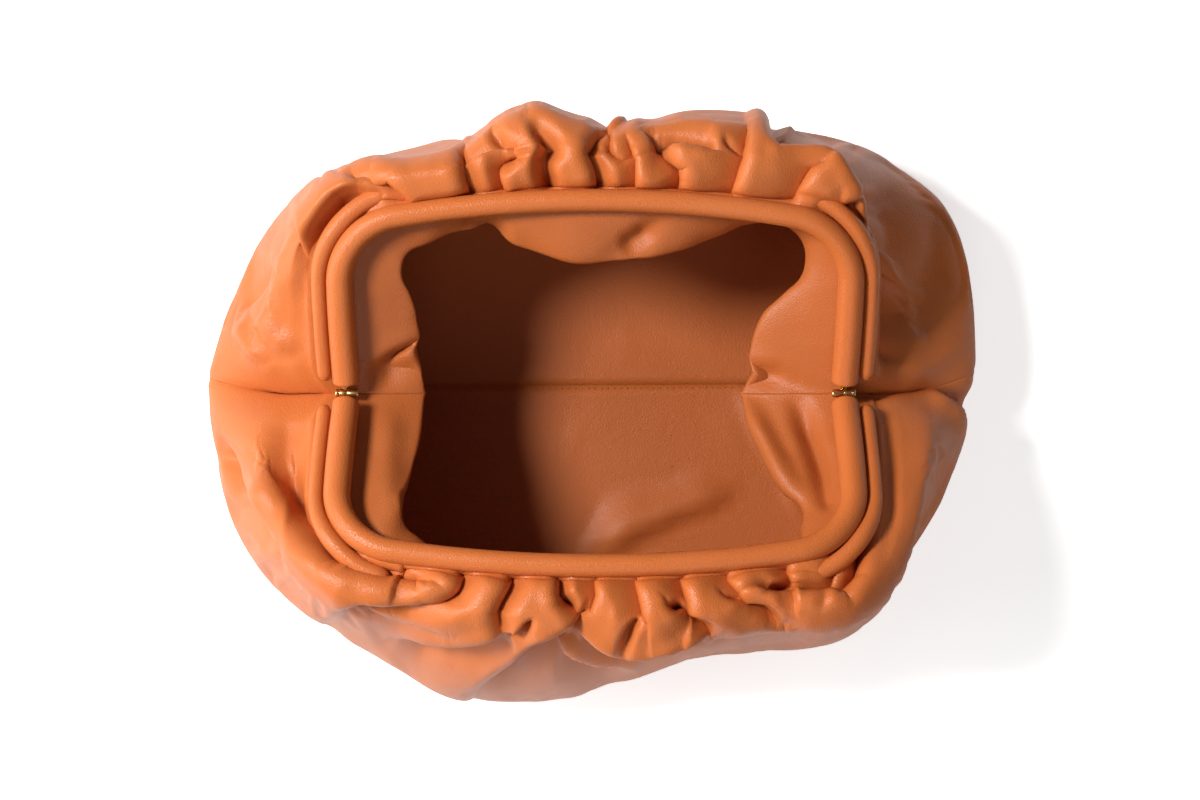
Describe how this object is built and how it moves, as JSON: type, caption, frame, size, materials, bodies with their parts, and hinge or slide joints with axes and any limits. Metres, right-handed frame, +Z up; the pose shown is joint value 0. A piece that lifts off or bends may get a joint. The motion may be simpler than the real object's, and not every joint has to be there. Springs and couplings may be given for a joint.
{
  "type": "pouch bag",
  "caption": "Soft gathered tan leather pouch bag, standing open, on a rounded leather-covered frame with brass hinges at both ends.",
  "frame": {"origin": "on the floor under the middle of the bag's outline", "axes": "+X along the hinge line to the right hinge, +Y to the back bar, +Z up from the base"},
  "size_m": [0.388, 0.295, 0.1591],
  "materials": {
    "leather": "smooth, soft satin",
    "brass": "polished"
  },
  "bodies": {
    "root": {"panel_back": "leather", "panel_front": "leather", "lining_back": "leather", "lining_front": "leather", "frame_back": "leather", "frame_front": "leather", "welt_back_left": "leather", "welt_back_right": "leather", "welt_front_left": "leather", "welt_front_right": "leather", "knuckle_back_left": "brass", "knuckle_back_right": "brass", "knuckle_front_left": "brass", "knuckle_front_right": "brass", "pin_left": "brass", "pin_right": "brass"}
  },
  "joints": []
}
